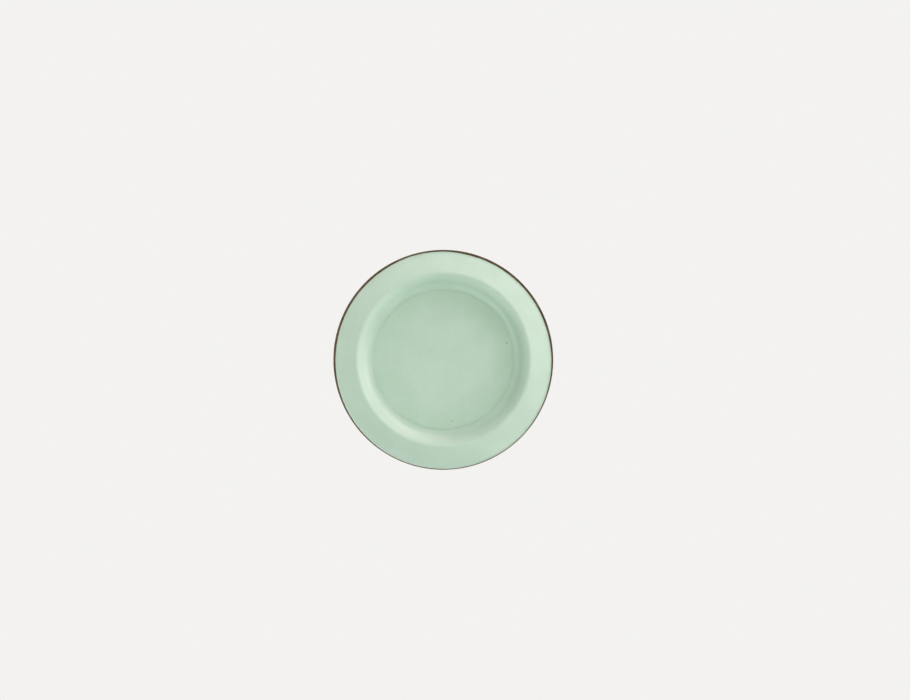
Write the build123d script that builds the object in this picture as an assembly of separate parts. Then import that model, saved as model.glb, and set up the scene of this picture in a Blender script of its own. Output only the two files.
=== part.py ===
from build123d import *
from math import atan2, cos, pi, radians, sin, tan
import os

# Magnetic soap holder: a round moulded holder for a tiled wall, with a magnet sealed in its boss,
# and a fluted metal cap that is pressed into a bar of soap and clings to the boss.
# All sizes are millimetres. Each piece is modelled with the common axis upright: height 0 is the
# floor of the wall recess, the wall lies below it and the soap above it. Every piece is then laid
# down, so that in the finished part the axis is Y and the soap side faces plus Y.

# Holder outline
brim_diameter = 55.0
overall_depth = 11.0
brim_rim_depth = 2.2
brim_root_depth = 3.5
rim_setback = 1.25
rim_roll_share = 0.28
rim_roll_drop = 0.38
rim_roll_rounding = 5.0
rim_front_rounding = 0.5

# Boss that carries the magnet
boss_face_diameter = 33.9
boss_draft = 21.0
boss_root_fillet = 3.0
boss_face_rounding = 1.3
boss_wall = 1.6
boss_skin = 1.0

# Recess on the wall side
recess_depth = 2.25
recess_wall_width = 2.75
mouth_bevel_width = 1.4
mouth_bevel_depth = 0.85
mouth_bevel_rounding = 0.8
recess_mouth_rounding = 1.2
recess_foot_fillet = 2.4
foot_wall = 1.66
wall_land_width = 0.55

# Cover that closes the magnet's room
cover_margin = 0.18
cover_thickness = 1.4
cover_ledge_width = 1.0
cover_clearance = 0.02
clamp_ring_height = 0.6
clamp_ring_width = 1.5

# Soft ring round the edge of the brim
seal_width = 0.6
seal_seat_depth = 0.5
seal_proud = 0.25
seal_lip_chamfer = 0.12

# Magnet, its steel cup and the ring between them
magnet_diameter = 20.0
magnet_chamfer = 0.3
cup_base = 1.5
cup_wall = 1.2
cup_chamfer = 0.5
spacer_width = 1.2
spacer_height_share = 0.9
inner_clearance = 0.05

# Socket and ribs that hold the cup inside the boss
socket_wall = 1.2
socket_height_share = 0.6
socket_clearance = 0.1
rib_count = 8
rib_thickness = 1.0
room_corner_rounding = 0.5

# Fluted cap
cap_diameter = 32.1
cap_panel_diameter = 28.6
cap_depth = 7.6
cap_sheet = 0.3
cap_corner_rounding = 1.55
cap_flutes = 21
flute_height = 1.2
flute_start_share = 0.27
hem_scallop = 0.35

# How far cutting tools and hidden joins reach past the surface they meet
overrun = 0.4

# The share of a side that the roundings at its two ends may take up together
rounding_room_share = 0.95

# Heights along the axis, from the recess floor
wall_plane = -recess_depth
boss_face = wall_plane + overall_depth
skin_inside = boss_face - boss_skin
brim_root = wall_plane + brim_root_depth
rim_front = wall_plane + brim_rim_depth

rim_back = wall_plane + rim_setback
seal_seat = rim_back + seal_seat_depth

# Radii from the boss outwards: the recess follows the boss, and the brim's slope fills what is left
boss_slant = tan(radians(boss_draft))
foot_radius = boss_face_diameter / 2 + boss_face * boss_slant - foot_wall
mouth_radius = foot_radius + recess_wall_width
bevel_radius = mouth_radius - mouth_bevel_width
bevel_height = wall_plane + mouth_bevel_depth
land_outer_radius = mouth_radius + wall_land_width
brim_radius = brim_diameter / 2
seal_inner_radius = brim_radius - seal_width
roll_radius = seal_inner_radius - (seal_inner_radius - land_outer_radius) * rim_roll_share

# The cover's seat starts just inside the fillet at the foot of the recess wall
wall_slope = atan2(-bevel_height, bevel_radius - foot_radius)
foot_fillet_reach = recess_foot_fillet * tan(wall_slope / 2)
cover_seat_radius = foot_radius - foot_fillet_reach - cover_margin

# The cup fills the height between the cover's clamp ring and the skin of the boss
cup_bottom = cover_thickness + clamp_ring_height
cup_height = skin_inside - cup_bottom
magnet_bottom = cup_bottom + cup_base
magnet_height = cup_height - cup_base
magnet_radius = magnet_diameter / 2
spacer_inner_radius = magnet_radius + inner_clearance
spacer_outer_radius = spacer_inner_radius + spacer_width
cup_inner_radius = spacer_outer_radius + inner_clearance
cup_radius = cup_inner_radius + cup_wall


def fitted(points, roundings):
    """Eases a rounding where the arcs at the two ends of a side would not both fit on it."""
    corners = [Vector(*point) for point in points]
    reach = {}
    for corner, radius in roundings:
        before = corners[corner] - corners[corner - 1]
        after = corners[(corner + 1) % len(corners)] - corners[corner]
        reach[corner] = radius * tan(radians(before.get_angle(after)) / 2)
    eased = []
    for corner, radius in roundings:
        ease = 1
        for neighbour in (corner - 1, corner + 1):
            side = (corners[corner] - corners[neighbour % len(corners)]).length
            taken = reach[corner] + reach.get(neighbour, 0)
            ease = min(ease, side * rounding_room_share / taken)
        eased.append((corner, radius * ease))
    return eased


def section(points, roundings):
    """Makes a half section from corner points, then rounds the corners that are listed."""
    outline = make_face(Polyline(*points, close=True)).face()
    for corner, radius in fitted(points, roundings):
        at = Vector(*points[corner])
        vertex = outline.vertices().sort_by(lambda v: (Vector(v) - at).length)[0]
        outline = outline.fillet_2d(radius, [vertex])
    return Plane.XZ * outline


def turned(points, roundings=()):
    """Turns a half section about the common axis."""
    return revolve(section(points, roundings), Axis.Z)


def boss_radius_at(height):
    """Radius of the drafted boss wall, before its edge is rounded."""
    return boss_face_diameter / 2 + (boss_face - height) * boss_slant


def make_shell_blank():
    """Brim, boss, wall recess and the magnet's room as one turned section."""
    room_radius = boss_radius_at(skin_inside) - boss_wall / cos(radians(boss_draft))
    points = [
        (0, boss_face),
        (boss_face_diameter / 2, boss_face),
        (boss_radius_at(brim_root), brim_root),
        (brim_radius, rim_front),
        (brim_radius, seal_seat),
        (seal_inner_radius, seal_seat),
        (seal_inner_radius, rim_back),
        (roll_radius, rim_back - rim_roll_drop),
        (land_outer_radius, wall_plane),
        (mouth_radius, wall_plane),
        (bevel_radius, bevel_height),
        (foot_radius, 0),
        (cover_seat_radius, 0),
        (cover_seat_radius, cover_thickness),
        (cover_seat_radius - cover_ledge_width, cover_thickness),
        (room_radius, skin_inside),
        (0, skin_inside),
    ]
    roundings = [
        (1, boss_face_rounding),
        (2, boss_root_fillet),
        (3, rim_front_rounding),
        (7, rim_roll_rounding),
        (8, recess_mouth_rounding),
        (9, recess_mouth_rounding),
        (10, mouth_bevel_rounding),
        (11, recess_foot_fillet),
        (15, room_corner_rounding),
    ]
    return turned(points, roundings)


def make_socket():
    """Ring inside the boss that the steel cup drops into."""
    inner = cup_radius + socket_clearance
    outer = inner + socket_wall
    bottom = skin_inside - cup_height * socket_height_share
    top = skin_inside + overrun
    return turned([(inner, bottom), (outer, bottom), (outer, top), (inner, top)])


def make_ribs():
    """Ribs that tie the socket ring to the boss wall, evenly round the axis."""
    start = cup_radius + socket_clearance + socket_wall / 2
    height = cup_height * socket_height_share
    end = boss_radius_at(skin_inside) - boss_wall / 2
    middle = skin_inside - height / 2 + overrun / 2
    rib = Pos((start + end) / 2, 0, middle) * Box(end - start, rib_thickness, height + overrun)
    return PolarLocations(0, rib_count) * rib


def make_holder_shell():
    """Moulded holder: the turned blank with its socket ring and ribs."""
    return make_shell_blank() + make_socket() + make_ribs()


def make_cover_disc():
    """Flat cover with a clamp ring that presses the steel cup against the boss."""
    radius = cover_seat_radius - cover_clearance
    ring_outer = cup_radius - cup_chamfer
    ring_inner = ring_outer - clamp_ring_width
    points = [
        (0, 0),
        (radius, 0),
        (radius, cover_thickness),
        (ring_outer, cover_thickness),
        (ring_outer, cup_bottom),
        (ring_inner, cup_bottom),
        (ring_inner, cover_thickness),
        (0, cover_thickness),
    ]
    return turned(points)


def make_rim_seal():
    """Narrow soft ring in a step at the edge of the brim: its face slopes up to a proud outer edge."""
    top = rim_back - seal_proud
    points = [
        (seal_inner_radius, rim_back),
        (brim_radius - seal_lip_chamfer, top),
        (brim_radius, top + seal_lip_chamfer),
        (brim_radius, seal_seat),
        (seal_inner_radius, seal_seat),
    ]
    return turned(points)


def make_flux_cup():
    """Steel cup, open towards the boss face."""
    points = [
        (0, cup_bottom),
        (cup_radius - cup_chamfer, cup_bottom),
        (cup_radius, cup_bottom + cup_chamfer),
        (cup_radius, skin_inside),
        (cup_inner_radius, skin_inside),
        (cup_inner_radius, magnet_bottom),
        (0, magnet_bottom),
    ]
    return turned(points)


def make_magnet():
    """Disc magnet with a chamfer round both faces."""
    points = [
        (0, magnet_bottom),
        (magnet_radius - magnet_chamfer, magnet_bottom),
        (magnet_radius, magnet_bottom + magnet_chamfer),
        (magnet_radius, skin_inside - magnet_chamfer),
        (magnet_radius - magnet_chamfer, skin_inside),
        (0, skin_inside),
    ]
    return turned(points)


def make_spacer_ring():
    """Ring that centres the magnet in the steel cup."""
    top = magnet_bottom + magnet_height * spacer_height_share
    points = [
        (spacer_inner_radius, magnet_bottom),
        (spacer_outer_radius, magnet_bottom),
        (spacer_outer_radius, top),
        (spacer_inner_radius, top),
    ]
    return turned(points)


def fluted_ring(mean_radius, wave, height, inset):
    """Closed outline of the skirt: crest and valley arcs in turn, moved inwards by the inset."""
    half_flute = pi / cap_flutes
    half_chord = mean_radius * sin(half_flute / 2)
    flank = 2 * atan2(wave, half_chord)
    arcs = []
    for turn in range(2 * cap_flutes):
        side = 1 if turn % 2 == 0 else -1
        middle = turn * half_flute
        peak = mean_radius + side * wave - inset
        ends = []
        for end in (-1, 1):
            angle = middle + end * half_flute / 2
            out = Vector(cos(angle), sin(angle))
            normal = Vector(cos(angle + side * end * flank), sin(angle + side * end * flank))
            ends.append(out * mean_radius - normal * inset)
        arcs.append(ThreePointArc(ends[0], Vector(cos(middle), sin(middle)) * peak, ends[1]))
    return Wire([arc.edge().moved(Location((0, 0, height))) for arc in arcs])


def cap_form(inset):
    """Solid form of the cap: a rounded panel turned about the axis, then a lofted fluted skirt."""
    panel_radius = cap_panel_diameter / 2
    flute_start = cap_depth * flute_start_share
    skirt_height = cap_depth - flute_start
    crest_mean = (cap_diameter - flute_height) / 2
    points = [
        (0, inset),
        (panel_radius - inset, inset),
        (panel_radius - inset, flute_start),
        (0, flute_start),
    ]
    panel = turned(points, [(1, cap_corner_rounding - inset)])
    growth = (skirt_height + overrun) / skirt_height
    skirt_end = flute_start + skirt_height * growth
    end_mean = panel_radius + (crest_mean - panel_radius) * growth
    start_ring = fluted_ring(panel_radius, 0, flute_start, inset)
    end_ring = fluted_ring(end_mean, flute_height / 2 * growth, skirt_end, inset)
    return panel + Solid.make_loft([start_ring, end_ring], ruled=True)


def make_hem_cutter():
    """Turned tool that trims the skirt on a cone, so that the hem is scalloped like the flutes."""
    crest = cap_diameter / 2
    valley = crest - flute_height
    slant = hem_scallop / flute_height
    outer = crest + overrun
    inner = valley - overrun - cap_sheet
    top = cap_depth + 2 * overrun + hem_scallop
    points = [
        (inner, cap_depth - (crest - inner) * slant),
        (outer, cap_depth + overrun * slant),
        (outer, top),
        (inner, top),
    ]
    return turned(points)


def make_soap_cap():
    """Thin fluted cap, open towards the soap, with its flat panel against the boss."""
    sheet = cap_form(0) - cap_form(cap_sheet)
    return Pos(0, 0, boss_face) * (sheet - make_hem_cutter())


pieces = {
    "holder_shell": make_holder_shell(),
    "cover_disc": make_cover_disc(),
    "rim_seal": make_rim_seal(),
    "flux_cup": make_flux_cup(),
    "spacer_ring": make_spacer_ring(),
    "magnet": make_magnet(),
    "soap_cap": make_soap_cap(),
}

os.makedirs("parts", exist_ok=True)
for name, piece in pieces.items():
    laid = Rot(-90, 0, 0) * piece
    export_step(Compound(laid.solids()) if len(laid.solids()) > 1 else laid.solid(), f"parts/{name}.step")
    print(name, "solids", len(laid.solids()), "volume", round(laid.volume, 1))
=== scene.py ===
# %% [markdown]
# # A magnetic soap holder, seen square on from its wall side
# The holder is a small moulded disc. Its wall side shows a shallow cone for a brim, a round recess
# with a sloping wall, and a flat cover at the bottom. On the other side a boss carries a magnet, and
# a fluted metal cap clings to it. This lesson dresses the measured solids: it keeps their sizes and
# adds smooth surfaces, finishes, light and a camera.

# %% Load the measured solids
import math

import bmesh
import bpy
import numpy as np
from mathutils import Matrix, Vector


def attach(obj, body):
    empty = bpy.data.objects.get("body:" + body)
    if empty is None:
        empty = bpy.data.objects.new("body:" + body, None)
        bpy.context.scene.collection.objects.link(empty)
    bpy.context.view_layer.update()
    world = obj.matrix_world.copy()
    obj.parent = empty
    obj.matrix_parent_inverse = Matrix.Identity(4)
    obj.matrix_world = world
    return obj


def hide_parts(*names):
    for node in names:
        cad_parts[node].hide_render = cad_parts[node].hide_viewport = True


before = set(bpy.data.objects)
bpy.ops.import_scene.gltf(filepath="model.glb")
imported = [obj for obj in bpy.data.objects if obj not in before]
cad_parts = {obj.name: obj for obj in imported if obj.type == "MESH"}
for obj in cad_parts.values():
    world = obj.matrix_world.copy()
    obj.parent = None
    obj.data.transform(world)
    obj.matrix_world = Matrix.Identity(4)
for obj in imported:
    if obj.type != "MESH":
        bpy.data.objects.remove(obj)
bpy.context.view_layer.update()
MM = 0.001


# %% [markdown]
# ## Two helpers for turned shapes
# Nearly everything here is turned about one axis, so one half section is enough to describe a piece.
# The first helper takes the corners of a section and swaps each for a short arc of its own radius.
# The second spins the finished line about the axis. Whole arrays keep this quick, and an arc of
# several points catches the light the way a moulded edge does, where a sharp corner would not.

# %% Round the corners of a section
def rounded_line(corners, steps=10):
    """Line through corners in mm, each a radius, a height and a rounding. An arc of that rounding
    takes the corner's place. It starts on the leg before the corner, as far from it as the rounding
    times the tangent of half the turn, and touches both legs."""
    corners = np.asarray(corners, float)
    places, roundings = corners[:, :2], corners[:, 2]
    rows = [places[:1]]
    for before, corner, after, rounding in zip(places[:-2], places[1:-1], places[2:], roundings[1:-1]):
        if rounding == 0:
            rows.append(corner[None])
            continue
        leg_in = (before - corner) / np.linalg.norm(before - corner)
        leg_out = (after - corner) / np.linalg.norm(after - corner)
        half = np.arccos(np.clip(leg_in @ leg_out, -1, 1)) / 2
        bisector = (leg_in + leg_out) / np.linalg.norm(leg_in + leg_out)
        centre = corner + bisector * rounding / np.sin(half)
        start = corner + leg_in * rounding / np.tan(half) - centre
        end = corner + leg_out * rounding / np.tan(half) - centre
        share = np.linspace(0, 1, steps)[:, None]
        turn = np.pi - 2 * half
        arc = (start * np.sin((1 - share) * turn) + end * np.sin(share * turn)) / np.sin(turn)
        rows.append(centre + arc)
    rows.append(places[-1:])
    return np.vstack(rows)


# %% Make a mesh from a grid
SAME_PLACE = 5e-7
SHARP_FROM = math.radians(35)


def mesh_from_grid(name, points, closed_rows=False):
    """Mesh from a grid of points: rows run along the section, and columns go round the axis and join
    up. The points of a row that lies on the axis share one place, and merging them closes the pole.
    The printed volume is positive when the faces point outwards."""
    rows, columns = points.shape[:2]
    index = np.arange(rows * columns).reshape(rows, columns)
    if closed_rows:
        index = np.vstack([index, index[:1]])
    right = np.roll(index, -1, axis=1)
    quads = np.stack([index[:-1], index[1:], right[1:], right[:-1]], axis=-1).reshape(-1, 4)
    mesh = bpy.data.meshes.new(name)
    mesh.from_pydata(points.reshape(-1, 3).tolist(), [], quads.tolist())
    work = bmesh.new()
    work.from_mesh(mesh)
    bmesh.ops.remove_doubles(work, verts=work.verts, dist=SAME_PLACE)
    open_edges = sum(not edge.is_manifold for edge in work.edges)
    volume = work.calc_volume(signed=True) / MM ** 3
    work.to_mesh(mesh)
    work.free()
    mesh.shade_smooth()
    mesh.set_sharp_from_angle(angle=SHARP_FROM)
    print(f"{name} has {len(mesh.polygons)} faces, {open_edges} open edges and {volume:.0f} cubic mm")
    piece = bpy.data.objects.new(name, mesh)
    bpy.context.collection.objects.link(piece)
    return piece


# %% Spin a section about the axis
def spun(name, line, around=480):
    """Turned surface: each point of the line, a radius and a height in mm, sweeps a full circle
    about the Y axis. A line that stays off the axis is joined to its start and becomes a ring."""
    angle = np.linspace(0, 2 * np.pi, around, endpoint=False)
    radius = line[:, :1]
    height = np.broadcast_to(line[:, 1:], (len(line), around))
    points = np.stack([radius * np.cos(angle), height, radius * np.sin(angle)], axis=-1) * MM
    return mesh_from_grid(name, points, closed_rows=radius.min() > 0)


# %% [markdown]
# ## The moulded holder
# It could be injection moulded from recycled nylon or polypropylene in a plain two part mould, which
# is why every wall leans a little. The brim falls back from the recess by about a millimetre, and
# rolls off a little more towards its edge, so that only the narrow land round the mouth meets the
# tile. The recess is a soft dish: a rounded mouth with a wide bevel, a wall that slopes at about
# forty five degrees, and a wide fillet at its foot. The thick wall of the boss sets where that foot
# lies, and the rest follows. Lengths are in mm, and heights are measured from the recess floor.

# %% Set the holder's sizes
BRIM_RADIUS, OVERALL_DEPTH, RIM_DEPTH, ROOT_DEPTH = 27.5, 11.0, 2.2, 3.5
RIM_SETBACK, ROLL_SHARE, ROLL_DROP = 1.25, 0.28, 0.38
SEAL_WIDTH, SEAL_SEAT, SEAL_PROUD = 0.6, 0.5, 0.25
BOSS_FACE_RADIUS, BOSS_DRAFT, FOOT_WALL = 16.95, math.radians(21.0), 1.66
RECESS_DEPTH, RECESS_WALL_WIDTH, LAND_WIDTH = 2.25, 2.75, 0.55
MOUTH_BEVEL_WIDTH, MOUTH_BEVEL_DEPTH = 1.4, 0.85
COVER_MARGIN, COVER_THICKNESS, COVER_LEDGE = 0.18, 1.4, 1.0
BOSS_WALL, BOSS_SKIN, CLAMP_HEIGHT, CUP_RADIUS = 1.6, 1.0, 0.6, 12.5
SOCKET_CLEARANCE, SOCKET_WALL, SOCKET_SHARE = 0.1, 1.2, 0.6
FOOT_FILLET, BEVEL_ROUNDING, LAND_ROUNDING, ROLL_ROUNDING = 2.4, 6.0, 1.2, 5.0
RIM_ROUNDING, ROOT_FILLET, BOSS_ROUNDING, ROOM_FILLET = 0.5, 3.0, 1.3, 0.5

wall_plane = -RECESS_DEPTH
boss_face = wall_plane + OVERALL_DEPTH
boss_slant = math.tan(BOSS_DRAFT)
foot_radius = BOSS_FACE_RADIUS + boss_face * boss_slant - FOOT_WALL
mouth_radius = foot_radius + RECESS_WALL_WIDTH
land_radius = mouth_radius + LAND_WIDTH
bevel_radius = mouth_radius - MOUTH_BEVEL_WIDTH
bevel_height = wall_plane + MOUTH_BEVEL_DEPTH
seal_radius = BRIM_RADIUS - SEAL_WIDTH
roll_radius = seal_radius - (seal_radius - land_radius) * ROLL_SHARE
rim_back = wall_plane + RIM_SETBACK
seal_seat = rim_back + SEAL_SEAT
root_height = wall_plane + ROOT_DEPTH
root_radius = BOSS_FACE_RADIUS + (boss_face - root_height) * boss_slant
fillet_reach = FOOT_FILLET * math.tan(math.atan2(-bevel_height, bevel_radius - foot_radius) / 2)
seat_radius = foot_radius - fillet_reach - COVER_MARGIN
room_top = boss_face - BOSS_SKIN
room_radius = BOSS_FACE_RADIUS + BOSS_SKIN * boss_slant - BOSS_WALL / math.cos(BOSS_DRAFT)
cup_bottom = COVER_THICKNESS + CLAMP_HEIGHT
socket_bottom = room_top - (room_top - cup_bottom) * SOCKET_SHARE
socket_radius = CUP_RADIUS + SOCKET_CLEARANCE
print(f"foot at {foot_radius:.2f}, mouth at {mouth_radius:.2f} and land to {land_radius:.2f} mm")

# %% Make the holder's skin
holder_line = rounded_line(
    [
        (0, room_top, 0),
        (socket_radius, room_top, 0),
        (socket_radius, socket_bottom, 0),
        (socket_radius + SOCKET_WALL, socket_bottom, 0),
        (socket_radius + SOCKET_WALL, room_top, 0),
        (room_radius, room_top, ROOM_FILLET),
        (seat_radius - COVER_LEDGE, COVER_THICKNESS, 0),
        (seat_radius, COVER_THICKNESS, 0),
        (seat_radius, 0, 0),
        (foot_radius, 0, FOOT_FILLET),
        (bevel_radius, bevel_height, BEVEL_ROUNDING),
        (mouth_radius, wall_plane, LAND_ROUNDING),
        (land_radius, wall_plane, LAND_ROUNDING),
        (roll_radius, rim_back - ROLL_DROP, ROLL_ROUNDING),
        (seal_radius, rim_back, 0),
        (seal_radius, seal_seat, 0),
        (BRIM_RADIUS, seal_seat, 0),
        (BRIM_RADIUS, wall_plane + RIM_DEPTH, RIM_ROUNDING),
        (root_radius, root_height, ROOT_FILLET),
        (BOSS_FACE_RADIUS, boss_face, BOSS_ROUNDING),
        (0, boss_face, 0),
    ]
)
holder = spun("holder_skin", holder_line)
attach(holder, "holder")
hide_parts("holder_shell")

# %% [markdown]
# ## The cover at the bottom of the recess
# A flat disc closes the room that the magnet sits in. It is pressed in flush, just inside the fillet,
# and fits so closely that its joint is only a faint hairline. Modelling the real gap gives that line
# for free, and it stays right from every side. A ring on its inner face holds the magnet's cup.

# %% Make the cover
COVER_CLEARANCE, COVER_ROUNDING, CUP_CHAMFER, CLAMP_WIDTH = 0.02, 0.03, 0.5, 1.5
cover_radius = seat_radius - COVER_CLEARANCE
clamp_radius = CUP_RADIUS - CUP_CHAMFER
cover_line = rounded_line(
    [
        (0, 0, 0),
        (cover_radius, 0, COVER_ROUNDING),
        (cover_radius, COVER_THICKNESS, 0),
        (clamp_radius, COVER_THICKNESS, 0),
        (clamp_radius, cup_bottom, 0),
        (clamp_radius - CLAMP_WIDTH, cup_bottom, 0),
        (clamp_radius - CLAMP_WIDTH, COVER_THICKNESS, 0),
        (0, COVER_THICKNESS, 0),
    ]
)
cover = spun("cover_face", cover_line)
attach(cover, "holder")
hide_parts("cover_disc")

# %% [markdown]
# ## The brown edge
# A narrow ring runs round the very edge of the brim. It could be moulded in a second shot of soft
# rubber, into a step that the first shot leaves. Its face starts level with the brim and slopes up
# to its outer edge, so it faces inwards a little and meets the tile with a soft lip.

# %% Make the rim seal
MEETING_ROUNDING, LIP_ROUNDING = 0.03, 0.14
seal_line = rounded_line(
    [
        (seal_radius, seal_seat, 0),
        (seal_radius, rim_back, MEETING_ROUNDING),
        (BRIM_RADIUS, rim_back - SEAL_PROUD, LIP_ROUNDING),
        (BRIM_RADIUS, seal_seat, 0),
    ],
    steps=6,
)
seal = spun("rim_lip", seal_line)
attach(seal, "holder")
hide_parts("rim_seal")

# %% [markdown]
# ## The fluted cap
# Sheet about 0.3 mm thick is drawn into a shallow cup and its skirt is pressed into twenty one
# flutes, like a bottle closure before crimping. The flutes start about a quarter of the way down and
# grow towards the hem, so the wave's height goes by the distance down the skirt. The inner face is the
# outer face moved back along its own normal, which keeps the sheet one thickness everywhere.

# %% Draw the cap's outer face
CAP_RADIUS, PANEL_RADIUS, PANEL_ROUNDING, CAP_DEPTH, SHEET = 16.05, 14.3, 1.55, 7.6, 0.3
FLUTES, FLUTE_HEIGHT, FLUTE_START, SCALLOP = 21, 1.2, 0.27, 0.35
SQUARING, ROW_CROWDING, EARLY_SHARE, EARLY_REACH = 0.08, 0.95, 0.35, 0.4


def cap_grid(around=FLUTES * 24, down=26, rings=9):
    """Outer face of the cap in mm. Round the axis the skirt's radius follows a cosine wave, a little
    squared off by its third harmonic. The wave's height grows with the distance below the start of
    the flutes, slowly over the early reach and then in proportion. A cone cuts the hem, so it reaches
    deepest where a flute stands out most. The rows crowd a little towards the hem."""
    angle = np.linspace(0, 2 * np.pi, around, endpoint=False)
    start = CAP_DEPTH * FLUTE_START
    panel = [(0, 0, 0), (PANEL_RADIUS, 0, PANEL_ROUNDING), (PANEL_RADIUS, start, 0)]
    panel = rounded_line(panel, steps=14)
    inner_rings = np.linspace(0, 1, rings)[:, None] * panel[1]
    panel = np.vstack([inner_rings, panel[2:]])
    wave = np.cos(FLUTES * angle) - SQUARING * np.cos(3 * FLUTES * angle)
    wave = wave / np.abs(wave).max() * FLUTE_HEIGHT / 2
    middle_radius = CAP_RADIUS - FLUTE_HEIGHT / 2
    hem_radius = middle_radius + wave
    hem_height = CAP_DEPTH - (CAP_RADIUS - hem_radius) * SCALLOP / FLUTE_HEIGHT
    share = np.linspace(0, 1, down + 1)[1:, None] ** ROW_CROWDING
    ease = share * (EARLY_SHARE + (1 - EARLY_SHARE) * np.clip(share / EARLY_REACH, 0, 1))
    skirt_radius = PANEL_RADIUS + (middle_radius - PANEL_RADIUS) * share + wave * ease
    skirt_height = start + (hem_height - start) * share
    radius = np.vstack([np.repeat(panel[:, :1], around, axis=1), skirt_radius])
    height = np.vstack([np.repeat(panel[:, 1:], around, axis=1), skirt_height])
    return np.stack([radius * np.cos(angle), height, radius * np.sin(angle)], axis=-1)


# %% Give the cap its thickness
outer = cap_grid()
along = np.gradient(outer, axis=0)
around = np.roll(outer, -1, axis=1) - np.roll(outer, 1, axis=1)
normal = np.cross(along, around)
# All columns meet in the pole, so its normal is taken from the next ring
normal[0] = normal[1]
normal /= np.linalg.norm(normal, axis=-1, keepdims=True)
outward = np.sign((normal[-1] * outer[-1])[:, [0, 2]].sum())
inner = outer - normal * outward * SHEET
# The cone that cuts the hem carries on through the sheet
inner[-1, :, 1] = outer[-1, :, 1] - SHEET * SCALLOP / FLUTE_HEIGHT
cap_points = np.concatenate([outer, inner[::-1]])
cap_points[..., 1] += boss_face
# Both poles are put on the axis, where merging closes them
cap_points[[0, -1]] *= (0, 1, 0)
cap = mesh_from_grid("cap_sheet", cap_points * MM)
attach(cap, "cap")
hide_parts("soap_cap")
cap_corners = cap_points.reshape(-1, 3)
print("cap reaches from", cap_corners.min(0).round(3), "to", cap_corners.max(0).round(3), "mm")

# %% [markdown]
# ## Building a finish
# Every finish is a small graph of procedural nodes that reads the object's own coordinates, in
# metres. A few tiny helpers add a node, set plain values on its sockets and link the rest, so that
# each finish below reads like a recipe.

# %% Add a node
def start_finish(name):
    """New material with its principled shader and the object's own coordinates."""
    finish = bpy.data.materials.new(name)
    finish.use_nodes = True
    tree = finish.node_tree
    shader = next(n for n in tree.nodes if n.type == "BSDF_PRINCIPLED")
    place = tree.nodes.new("ShaderNodeTexCoord").outputs["Object"]
    return finish, tree, shader, place


def add(tree, kind, settings=None, **inputs):
    """Adds one node. Settings are its own switches. Inputs are values, or sockets to link, and are
    named after the node's socket, or i and its number where several sockets share a name."""
    made = tree.nodes.new(kind)
    for key, value in (settings or {}).items():
        setattr(made, key, value)
    for key, value in inputs.items():
        by_number = key[0] == "i" and key[1:].isdigit()
        socket = made.inputs[int(key[1:]) if by_number else key.replace("_", " ")]
        if isinstance(value, bpy.types.NodeSocket):
            tree.links.new(value, socket)
        else:
            socket.default_value = value
    return made


# %% Mix, measure and reckon with nodes
VALUE_STEPS = ("DISTANCE", "DOT_PRODUCT", "LENGTH")


def mix_colour(tree, share, first, second):
    """Blend of two colours by a share from 0 to 1. The node's colours are its sockets 6 and 7."""
    return add(tree, "ShaderNodeMix", {"data_type": "RGBA"}, Factor=share, i6=first, i7=second).outputs[2]


def ramp(tree, value, low, high, to_low=0.0, to_high=1.0):
    """Maps a value from low..high on to to_low..to_high, smoothly and without overshoot."""
    settings = {"interpolation_type": "SMOOTHSTEP", "clamp": True}
    ends = {"From_Min": low, "From_Max": high, "To_Min": to_low, "To_Max": to_high}
    return add(tree, "ShaderNodeMapRange", settings, Value=value, **ends).outputs["Result"]


def maths(tree, operation, first, second):
    """One arithmetic step on two values."""
    return add(tree, "ShaderNodeMath", {"operation": operation}, i0=first, i1=second).outputs[0]


def vector_maths(tree, operation, first, second=(0, 0, 0)):
    """One step on two vectors. A distance, a dot product or a length comes out as a plain value."""
    made = add(tree, "ShaderNodeVectorMath", {"operation": operation}, i0=first, i1=second)
    return made.outputs["Value" if operation in VALUE_STEPS else "Vector"]


# %% Find a place on the face
def axis_distance(tree, place):
    """Distance from the common Y axis, used for rings of painted shade, the rub on the land and the edge
    of the brown line.
    """
    return vector_maths(tree, "LENGTH", vector_maths(tree, "MULTIPLY", place, (1, 0, 1)))


def across_face(angle):
    """Direction in the plane of the face. The angle is in degrees, seen from the front, from right
    to up, so its cosine gives X and its sine gives Z."""
    turn = math.radians(angle)
    return Vector((math.cos(turn), 0, math.sin(turn)))


def share_towards(tree, place, angle):
    """How far a point lies off the axis in one direction, as a share of the brim's radius: the dot
    product of its place and that direction."""
    return vector_maths(tree, "DOT_PRODUCT", place, across_face(angle) / (BRIM_RADIUS * MM))


# %% Make patterns and reliefs
NOISE_BAND = (0.3, 0.7)


def noise(tree, place, scale, detail, roughness=0.5):
    """Cloudy pattern whose scale is about its number of waves to the metre. Most of its values lie
    in the noise band."""
    made = add(tree, "ShaderNodeTexNoise", Vector=place, Scale=scale, Detail=detail, Roughness=roughness)
    return made.outputs[0]


def raised(tree, height, distance, strength, **below):
    """Relief that bends the normal as if the pattern stood up by the distance, in metres."""
    made = add(tree, "ShaderNodeBump", Height=height, Distance=distance, Strength=strength, **below)
    return made.outputs[0]
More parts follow.
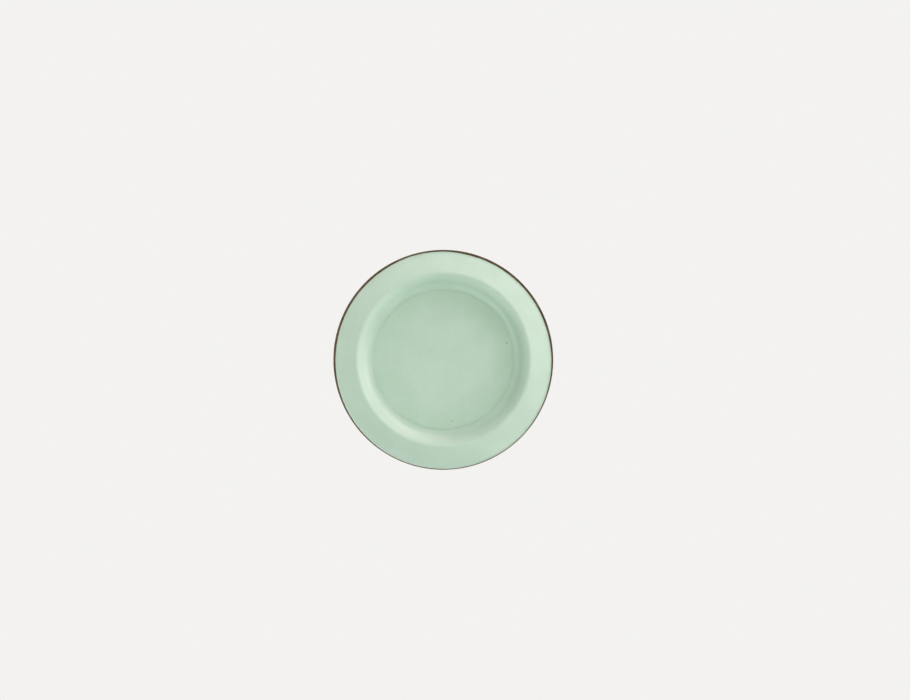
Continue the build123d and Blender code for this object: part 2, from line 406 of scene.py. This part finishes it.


# %% [markdown]
# ## The mint plastic
# Recycled net makes a plastic that is never quite even. The finish stacks three scales: a soft
# mottle a few millimetres across, fine pale and dark flecks well under a millimetre, and a few dark
# specks where they were seen on the flat floor. Over these lies painted shade. The floor is painted a
# little darker than the brim, and darker and greener still towards its edge, where the wall shades
# it. From there the painted shade lifts gradually, up the wall and over the mouth. The lowest part
# of the brim, which faces away from the light, is painted a trace darker.

# %% Set the mint's tone
MINT, MINT_PALE = (0.427, 0.520, 0.441, 1), (0.452, 0.544, 0.469, 1)
# Painted shade: the recess floor a little darker, and the foot of its wall darker and greener
PAINTED_FLOOR_SHADE, PAINTED_FOOT_SHADE = (0.905, 0.925, 0.915, 1), (0.833, 0.885, 0.857, 1)
# Painted shade on the lowest part of the brim, which faces away from the light
BRIM_SHADE, PAINTED_LOW_BRIM_SHADE = (1, 1, 1, 1), (0.925, 0.935, 0.935, 1)
FLOOR_SHADE_ENDS, FOOT_SHADE_STARTS, FOOT_SHADE_ENDS, BRIM_STARTS = 8.0, 17.0, 19.0, 23.0
LOW_BRIM_SHADE_ANGLE, LOW_BRIM_SHADE_FROM, LOW_BRIM_SHADE_TO = 250.0, 0.55, 0.95
MOTTLE, MOTTLE_BAND = {"scale": 140.0, "detail": 5.0, "roughness": 0.6}, (0.35, 0.65)


def mint_tone(tree, place):
    """Mottled mint times a painted shade. It goes by the distance from the axis, from the floor to the
    foot of the wall and then to the brim, and low on the brim by the distance downwards."""
    mottle = noise(tree, place, **MOTTLE)
    radius = axis_distance(tree, place)
    at_foot = ramp(tree, radius, FLOOR_SHADE_ENDS * MM, FOOT_SHADE_STARTS * MM)
    at_brim = ramp(tree, radius, FOOT_SHADE_ENDS * MM, BRIM_STARTS * MM)
    # Painted shade: darker low on the brim, away from the light
    low_brim_shaded = ramp(tree, share_towards(tree, place, LOW_BRIM_SHADE_ANGLE), LOW_BRIM_SHADE_FROM, LOW_BRIM_SHADE_TO)
    # Painted shade in the recess, deepest at the foot of the wall
    painted_recess_shade = mix_colour(tree, at_foot, PAINTED_FLOOR_SHADE, PAINTED_FOOT_SHADE)
    painted_brim_shade = mix_colour(tree, low_brim_shaded, BRIM_SHADE, PAINTED_LOW_BRIM_SHADE)
    colour = mix_colour(tree, ramp(tree, mottle, *MOTTLE_BAND), MINT, MINT_PALE)
    return vector_maths(tree, "MULTIPLY", colour, mix_colour(tree, at_brim, painted_recess_shade, painted_brim_shade))


# %% [markdown]
# Flecks are too many to place one by one, so a cell pattern scatters them: it cuts space into small
# cells and gives each a random colour. Specks are few, and each is listed with its place.

# %% Scatter the flecks and place the specks
FLECK_SCALE, FLECK_EDGE, FLECK_CORE = 1500.0, 0.34, 0.16
DARK_FLECK, DARK_FROM, DARK_TO, DARK_SHARE = (0.20, 0.27, 0.21, 1), 0.93, 0.95, 0.14
PALE_FLECK, PALE_FROM, PALE_TO, PALE_SHARE = (0.66, 0.76, 0.68, 1), 0.90, 0.92, 0.08
SPECK, SPECK_SHARE, SPECK_CORE_SHARE = (0.10, 0.13, 0.10, 1), 0.55, 0.45
SPECKS_MM = ((15.9, 4.2, 0.30), (2.1, -15.4, 0.26), (-3.1, 2.2, 0.16), (6.0, -2.4, 0.14))


def with_flecks(tree, place, colour):
    """Lays flecks on a colour. A cell carries a dark or a pale fleck round its middle where the red
    or the green of its random colour is nearly full."""
    cells = add(tree, "ShaderNodeTexVoronoi", Vector=place, Scale=FLECK_SCALE, Randomness=1.0)
    chosen = add(tree, "ShaderNodeSeparateColor", Color=cells.outputs["Color"]).outputs
    near = ramp(tree, cells.outputs["Distance"], FLECK_EDGE, FLECK_CORE)
    dark = maths(tree, "MULTIPLY", near, ramp(tree, chosen[0], DARK_FROM, DARK_TO))
    pale = maths(tree, "MULTIPLY", near, ramp(tree, chosen[1], PALE_FROM, PALE_TO))
    colour = mix_colour(tree, maths(tree, "MULTIPLY", dark, DARK_SHARE), colour, DARK_FLECK)
    return mix_colour(tree, maths(tree, "MULTIPLY", pale, PALE_SHARE), colour, PALE_FLECK)


def with_specks(tree, place, colour, specks):
    """Lays round specks on a colour. Each has a place, right and up, and a radius in mm, and fades
    between its core and its edge by the distance from its middle."""
    for right, up, size in specks:
        gap = vector_maths(tree, "DISTANCE", place, (right * MM, 0.0, up * MM))
        speck = ramp(tree, gap, size * MM, size * MM * SPECK_CORE_SHARE)
        colour = mix_colour(tree, maths(tree, "MULTIPLY", speck, SPECK_SHARE), colour, SPECK)
    return colour


# %% [markdown]
# The shine is satin. A fine grain in the relief breaks it up as a spark eroded mould does, softer
# smears lie under it, and the land round the mouth, which touches the tile, is a little smoother.

# %% Make the mint finish
GRAIN, GRAIN_RELIEF = {"scale": 5200.0, "detail": 3.0, "roughness": 0.55}, (0.03 * MM, 0.25)
SMEAR, SMEAR_RELIEF = {"scale": 260.0, "detail": 4.0, "roughness": 0.5}, (0.06 * MM, 0.20)
SATIN_ROUGHNESS, RUB_SMOOTHS, RUB_WIDTH, MINT_SHINE = (0.40, 0.52), -0.08, 0.4, 0.38


def mint_finish(name, specks):
    """Satin recycled plastic. The rub is full on the land and fades over its width on both sides."""
    finish, tree, shader, place = start_finish(name)
    colour = with_flecks(tree, place, mint_tone(tree, place))
    tree.links.new(with_specks(tree, place, colour, specks), shader.inputs["Base Color"])
    smear = noise(tree, place, **SMEAR)
    radius = axis_distance(tree, place)
    rub_in = ramp(tree, radius, (mouth_radius - RUB_WIDTH) * MM, mouth_radius * MM)
    rub_out = ramp(tree, radius, (land_radius + RUB_WIDTH) * MM, land_radius * MM)
    rub = maths(tree, "MULTIPLY", maths(tree, "MULTIPLY", rub_in, rub_out), RUB_SMOOTHS)
    satin = ramp(tree, smear, *NOISE_BAND, *SATIN_ROUGHNESS)
    tree.links.new(maths(tree, "ADD", satin, rub), shader.inputs["Roughness"])
    grain = raised(tree, noise(tree, place, **GRAIN), *GRAIN_RELIEF)
    tree.links.new(raised(tree, smear, *SMEAR_RELIEF, Normal=grain), shader.inputs["Normal"])
    shader.inputs["Specular IOR Level"].default_value = MINT_SHINE
    return finish


mint = mint_finish("mint_moulding", ())
mint_floor = mint_finish("mint_cover_moulding", SPECKS_MM)
holder.data.materials.append(mint)
cover.data.materials.append(mint_floor)
print("mint nodes", len(mint.node_tree.nodes), "and", len(mint_floor.node_tree.nodes))

# %% [markdown]
# ## The brown rubber of the lip
# It is dark and matt, and a little dust greys it in patches. The mint covers more of the brown
# along the lower side, and again for a short stretch at the top, so the brown line is thinner there.
# How far the mint reaches is only a matter of distances: one is measured downhill from the axis, and
# the other from the middle of the short stretch.

# %% Let the mint run over the brown
MINT_RUNS_OVER, MEETING_BLUR = 0.37, 0.05
LOWER_ANGLE, LOWER_FROM, LOWER_TO = 279.0, -0.45, 0.95
TOP_ANGLE, TOP_REACH, TOP_CORE, TOP_SHARE = 99.0, 12.5, 4.0, 0.40


def mint_over(tree, place, brown):
    """Mint up to where it ends on the ring, and brown beyond. The mint ends at the ring's inner
    radius plus a width, times a share that grows downhill and again near the top stretch."""
    top_middle = across_face(TOP_ANGLE) * BRIM_RADIUS * MM
    away = vector_maths(tree, "DISTANCE", place, top_middle)
    lower = ramp(tree, share_towards(tree, place, LOWER_ANGLE), LOWER_FROM, LOWER_TO)
    upper = ramp(tree, away, TOP_REACH * MM, TOP_CORE * MM, 0.0, TOP_SHARE)
    width = maths(tree, "MULTIPLY", maths(tree, "ADD", lower, upper), MINT_RUNS_OVER * MM)
    mint_ends = maths(tree, "ADD", width, seal_radius * MM)
    past_mint = maths(tree, "SUBTRACT", axis_distance(tree, place), mint_ends)
    return mix_colour(tree, ramp(tree, past_mint, -MEETING_BLUR * MM, MEETING_BLUR * MM), MINT, brown)


# %% Make the brown finish
BROWN, BROWN_DUSTY = (0.064, 0.034, 0.017, 1), (0.120, 0.074, 0.046, 1)
MATT_ROUGHNESS, BROWN_SHINE = (0.62, 0.82), 0.25
DUST, DUST_BAND = {"scale": 420.0, "detail": 6.0, "roughness": 0.65}, (0.42, 0.68)
NAP, NAP_RELIEF = {"scale": 4200.0, "detail": 2.0}, (0.04 * MM, 0.4)
rubber, tree, shader, place = start_finish("brown_rubber")
dust = noise(tree, place, **DUST)
brown = mix_colour(tree, ramp(tree, dust, *DUST_BAND), BROWN, BROWN_DUSTY)
tree.links.new(mint_over(tree, place, brown), shader.inputs["Base Color"])
tree.links.new(ramp(tree, dust, *NOISE_BAND, *MATT_ROUGHNESS), shader.inputs["Roughness"])
tree.links.new(raised(tree, noise(tree, place, **NAP), *NAP_RELIEF), shader.inputs["Normal"])
shader.inputs["Specular IOR Level"].default_value = BROWN_SHINE
seal.data.materials.append(rubber)
print("brown nodes", len(rubber.node_tree.nodes))

# %% [markdown]
# ## Tinplate, and the metals inside
# Tinplate is bright steel with a thin soft coat, which is never quite even. Pressing leaves fine
# lines that run round the skirt. The steel cup has a dull zinc coat with a spangle, and the magnet a
# warmer nickel one. The ring between them is plain natural nylon.

# %% Make the metal finishes
METALS = {
    "tinplate": {
        "dull": (0.60, 0.60, 0.59, 1),
        "bright": (0.70, 0.70, 0.69, 1),
        "roughness": (0.28, 0.40),
        "spangle": 900.0,
        "crystal": 0.05,
        "stretch": (300, 6000, 300),
    },
    "zinc_coat": {
        "dull": (0.38, 0.39, 0.41, 1),
        "bright": (0.55, 0.56, 0.58, 1),
        "roughness": (0.35, 0.55),
        "spangle": 900.0,
        "crystal": 0.35,
        "stretch": (900, 900, 900),
    },
    "nickel_coat": {
        "dull": (0.55, 0.51, 0.46, 1),
        "bright": (0.68, 0.64, 0.58, 1),
        "roughness": (0.14, 0.26),
        "spangle": 500.0,
        "crystal": 0.35,
        "stretch": (500, 500, 500),
    },
}
CLOUD_SHARE, LINE_SHARE, LINE_RELIEF = 0.7, 0.5, (0.02 * MM, 0.3)


def weighted(tree, share, first, second):
    """Share of the first value plus the rest of the second."""
    first_part = maths(tree, "MULTIPLY", first, share)
    return maths(tree, "ADD", first_part, maths(tree, "MULTIPLY", second, 1 - share))


def metal_finish(name, dull, bright, roughness, spangle, crystal, stretch):
    """Metal with a patchy coat and fine lines. The stretch gives the lines' waves to the metre along
    each axis, so they run across the axis that has most. The crystal share says how much of the
    coat's pattern is flat facets and how much is soft cloud."""
    finish, tree, shader, place = start_finish(name)
    shader.inputs["Metallic"].default_value = 1.0
    patches = add(tree, "ShaderNodeTexVoronoi", Vector=place, Scale=spangle, Randomness=1.0)
    patch = add(tree, "ShaderNodeSeparateColor", Color=patches.outputs["Color"]).outputs[0]
    cloud = noise(tree, place, scale=spangle * CLOUD_SHARE, detail=6.0, roughness=0.6)
    coat = weighted(tree, crystal, patch, cloud)
    tone = mix_colour(tree, ramp(tree, coat, *NOISE_BAND), dull, bright)
    tree.links.new(tone, shader.inputs["Base Color"])
    stretched = vector_maths(tree, "MULTIPLY", place, stretch)
    lines = noise(tree, stretched, scale=1.0, detail=4.0, roughness=0.7)
    wear = weighted(tree, LINE_SHARE, lines, coat)
    tree.links.new(ramp(tree, wear, *NOISE_BAND, *roughness), shader.inputs["Roughness"])
    tree.links.new(raised(tree, lines, *LINE_RELIEF), shader.inputs["Normal"])
    return finish


metals = {name: metal_finish(name, **values) for name, values in METALS.items()}
cap.data.materials.append(metals["tinplate"])
print("metals made:", ", ".join(metals))

# %% Make the nylon, and dress the hidden pieces
NYLON, NYLON_PALE, NYLON_ROUGHNESS = (0.62, 0.61, 0.56, 1), (0.74, 0.73, 0.69, 1), (0.4, 0.55)
nylon, tree, shader, place = start_finish("natural_nylon")
cloud = noise(tree, place, scale=600.0, detail=4.0)
tree.links.new(mix_colour(tree, cloud, NYLON, NYLON_PALE), shader.inputs["Base Color"])
tree.links.new(ramp(tree, cloud, *NOISE_BAND, *NYLON_ROUGHNESS), shader.inputs["Roughness"])
hidden = {"flux_cup": metals["zinc_coat"], "magnet": metals["nickel_coat"], "spacer_ring": nylon}
for node_name, finish in hidden.items():
    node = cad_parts[node_name]
    node.data.materials.clear()
    node.data.materials.append(finish)
print("dressed inside:", ", ".join(hidden))

# %% [markdown]
# ## A plain studio
# The disc is shown in a pale round room without corners: a flat floor that curves up into a wall, and
# a roof that closes over it. The usual sweep of paper has only one good side, and this one looks the
# same from all round. Its even glow is for the camera alone. The part is lit by the sky and the
# distant lights, which pass through the walls, so the room can be as pale as it likes.

# %% Make the room
FLOOR_LEVEL, ROOM_BEND, ROOM_RADIUS = -1.1, 1.0, 2.6


def round_room(name, around=96, rows=24):
    """Room in metres, turned about the upright axis. Its side view is a flat floor, a quarter circle
    up to the wall, and a quarter circle of the room's own radius for the roof."""
    turn = np.linspace(0, np.pi / 2, rows)
    wall_reach = ROOM_RADIUS - ROOM_BEND * (1 - np.sin(turn))
    wall_rise = ROOM_BEND * (1 - np.cos(turn))
    roof_reach = ROOM_RADIUS * np.cos(turn[1:-1])
    roof_rise = ROOM_BEND + ROOM_RADIUS * np.sin(turn[1:-1])
    reach = np.concatenate([[0], wall_reach, roof_reach, [0]])[:, None]
    rise = np.concatenate([[0], wall_rise, roof_rise, [ROOM_BEND + ROOM_RADIUS]])[:, None]
    angle = np.linspace(0, 2 * np.pi, around, endpoint=False)
    height = np.broadcast_to(FLOOR_LEVEL + rise, (len(rise), around))
    return mesh_from_grid(name, np.stack([reach * np.cos(angle), reach * np.sin(angle), height], axis=-1))


room = round_room("room")
room.visible_diffuse = False
room.visible_glossy = False
room.visible_shadow = False

# %% Paint the room
FLOOR_TONE, WALL_TONE, TONE_SHARE = (0.760, 0.753, 0.738, 1), (0.896, 0.888, 0.871, 1), 0.9
paint, tree, shader, place = start_finish("room_paint")
height = add(tree, "ShaderNodeSeparateXYZ", i0=place).outputs["Z"]
risen = ramp(tree, height, FLOOR_LEVEL, FLOOR_LEVEL + ROOM_BEND * TONE_SHARE)
tree.links.new(mix_colour(tree, risen, FLOOR_TONE, WALL_TONE), shader.inputs["Emission Color"])
shader.inputs["Emission Strength"].default_value = 1.0
shader.inputs["Base Color"].default_value = (0, 0, 0, 1)
shader.inputs["Specular IOR Level"].default_value = 0.0
room.data.materials.append(paint)
print("the room's floor is at", FLOOR_LEVEL, "m")

# %% [markdown]
# ## Light
# The brim is brightest at the upper right and darkest at the lower left, and the recess is the other
# way round, so the light comes from the upper right. Three wide soft lights stand only nine degrees
# above the plane of the disc, because grazing light makes so shallow a form read, and they carry the
# shade of the mouth softly across the floor. Light linking keeps them off the metal cap, which would
# only throw their glare back. Four fills in front keep the shaded walls of the recess open, and two
# lights from behind shape the boss and the cap. All are far away, so that nothing falls off across
# the part. The sky is nearly dark in front, where it would only fill the recess, and bright behind,
# where the metal cap mirrors it.

# %% Make the lights
SOFT_LIGHTS = {
    "low_right": {"azimuth": 10, "tilt": 81, "spread": 25, "power": 2.28, "colour": (1.0, 0.88, 0.95)},
    "low_top": {"azimuth": 60, "tilt": 81, "spread": 25, "power": 1.90, "colour": (1.0, 0.88, 0.96)},
    "low_left": {"azimuth": 85, "tilt": 81, "spread": 25, "power": 1.15, "colour": (1.0, 0.88, 0.96)},
    "left_fill": {"azimuth": 180, "tilt": 50, "spread": 40, "power": 0.60, "colour": (0.92, 1.0, 0.97)},
    "lower_fill": {"azimuth": 225, "tilt": 50, "spread": 40, "power": 1.70, "colour": (0.92, 1.0, 0.97)},
    "corner_fill": {"azimuth": 315, "tilt": 66, "spread": 35, "power": 1.24, "colour": (0.87, 1.0, 0.98)},
    "front_fill": {"azimuth": 53, "tilt": 21, "spread": 60, "power": 1.29, "colour": (0.90, 1.0, 0.82)},
    "back_key": {"azimuth": 115, "tilt": 128, "spread": 50, "power": 1.6, "colour": (1.0, 0.98, 0.96)},
    "back_fill": {"azimuth": 335, "tilt": 150, "spread": 70, "power": 0.8, "colour": (0.94, 0.97, 1.0)},
}
PLASTIC_ONLY = ("low_right", "low_top", "low_left")


def soft_light(name, azimuth, tilt, spread, power, colour):
    """Distant light that fills the given angle. The azimuth is seen from the front, from right to
    up, and the tilt is measured from the line of sight, all in degrees."""
    off = math.radians(tilt)
    spot = across_face(azimuth) * math.sin(off) - Vector((0, math.cos(off), 0))
    data = bpy.data.lights.new(name, "SUN")
    data.angle = math.radians(spread)
    data.energy = power
    data.color = colour
    lamp = bpy.data.objects.new(name, data)
    lamp.location = spot
    lamp.rotation_mode = "QUATERNION"
    lamp.rotation_quaternion = spot.to_track_quat("Z", "Y")
    bpy.context.collection.objects.link(lamp)
    return lamp


plastic = bpy.data.collections.new("plastic_only")
for piece in (holder, cover, seal):
    plastic.objects.link(piece)
for light_name, light_values in SOFT_LIGHTS.items():
    lamp = soft_light(light_name, **light_values)
    if light_name in PLASTIC_ONLY:
        lamp.light_linking.receiver_collection = plastic
print("lights:", ", ".join(SOFT_LIGHTS))

# %% Make the sky
FRONT_SKY, BACK_SKY, SKY_BAND = 0.02, 0.55, (-0.1, 0.5)
world = bpy.data.worlds.new("studio")
world.use_nodes = True
bpy.context.scene.world = world
background = world.node_tree.nodes["Background"]
background.inputs["Color"].default_value = (1.0, 1.0, 1.0, 1)
direction = add(world.node_tree, "ShaderNodeTexCoord").outputs["Generated"]
towards_back = add(world.node_tree, "ShaderNodeSeparateXYZ", i0=direction).outputs["Y"]
sky = ramp(world.node_tree, towards_back, *SKY_BAND, FRONT_SKY, BACK_SKY)
world.node_tree.links.new(sky, background.inputs["Strength"])
bpy.context.scene.view_settings.view_transform = "Standard"
print("sky from", FRONT_SKY, "in front to", BACK_SKY, "behind")

# %% [markdown]
# ## Camera
# The disc's outline is a true circle, so the camera looks straight along the axis. A long lens keeps
# the near and far rings concentric. The lens is shifted a little, which places the disc in the frame
# without turning the view.

# %% Make the camera
LENS, SENSOR, FRAME_WIDTH, FRAME_HEIGHT = 200.0, 36.0, 910, 700
DISC_WIDTH_PX, DISC_CENTRE_PX = 220.1, (443.3, 359.8)
on_sensor = DISC_WIDTH_PX / FRAME_WIDTH * SENSOR
stand_off = BRIM_RADIUS * 2 * MM * LENS / on_sensor
eye = bpy.data.cameras.new("square_on")
eye.lens = LENS
eye.sensor_width = SENSOR
eye.shift_x = (FRAME_WIDTH / 2 - DISC_CENTRE_PX[0]) / FRAME_WIDTH
eye.shift_y = (DISC_CENTRE_PX[1] - FRAME_HEIGHT / 2) / FRAME_WIDTH
camera = bpy.data.objects.new("square_on", eye)
camera.location = (0, wall_plane * MM - stand_off, 0)
camera.rotation_euler = (math.pi / 2, 0, 0)
bpy.context.collection.objects.link(camera)
bpy.context.scene.camera = camera
print("camera stands", round(stand_off, 3), "m away")
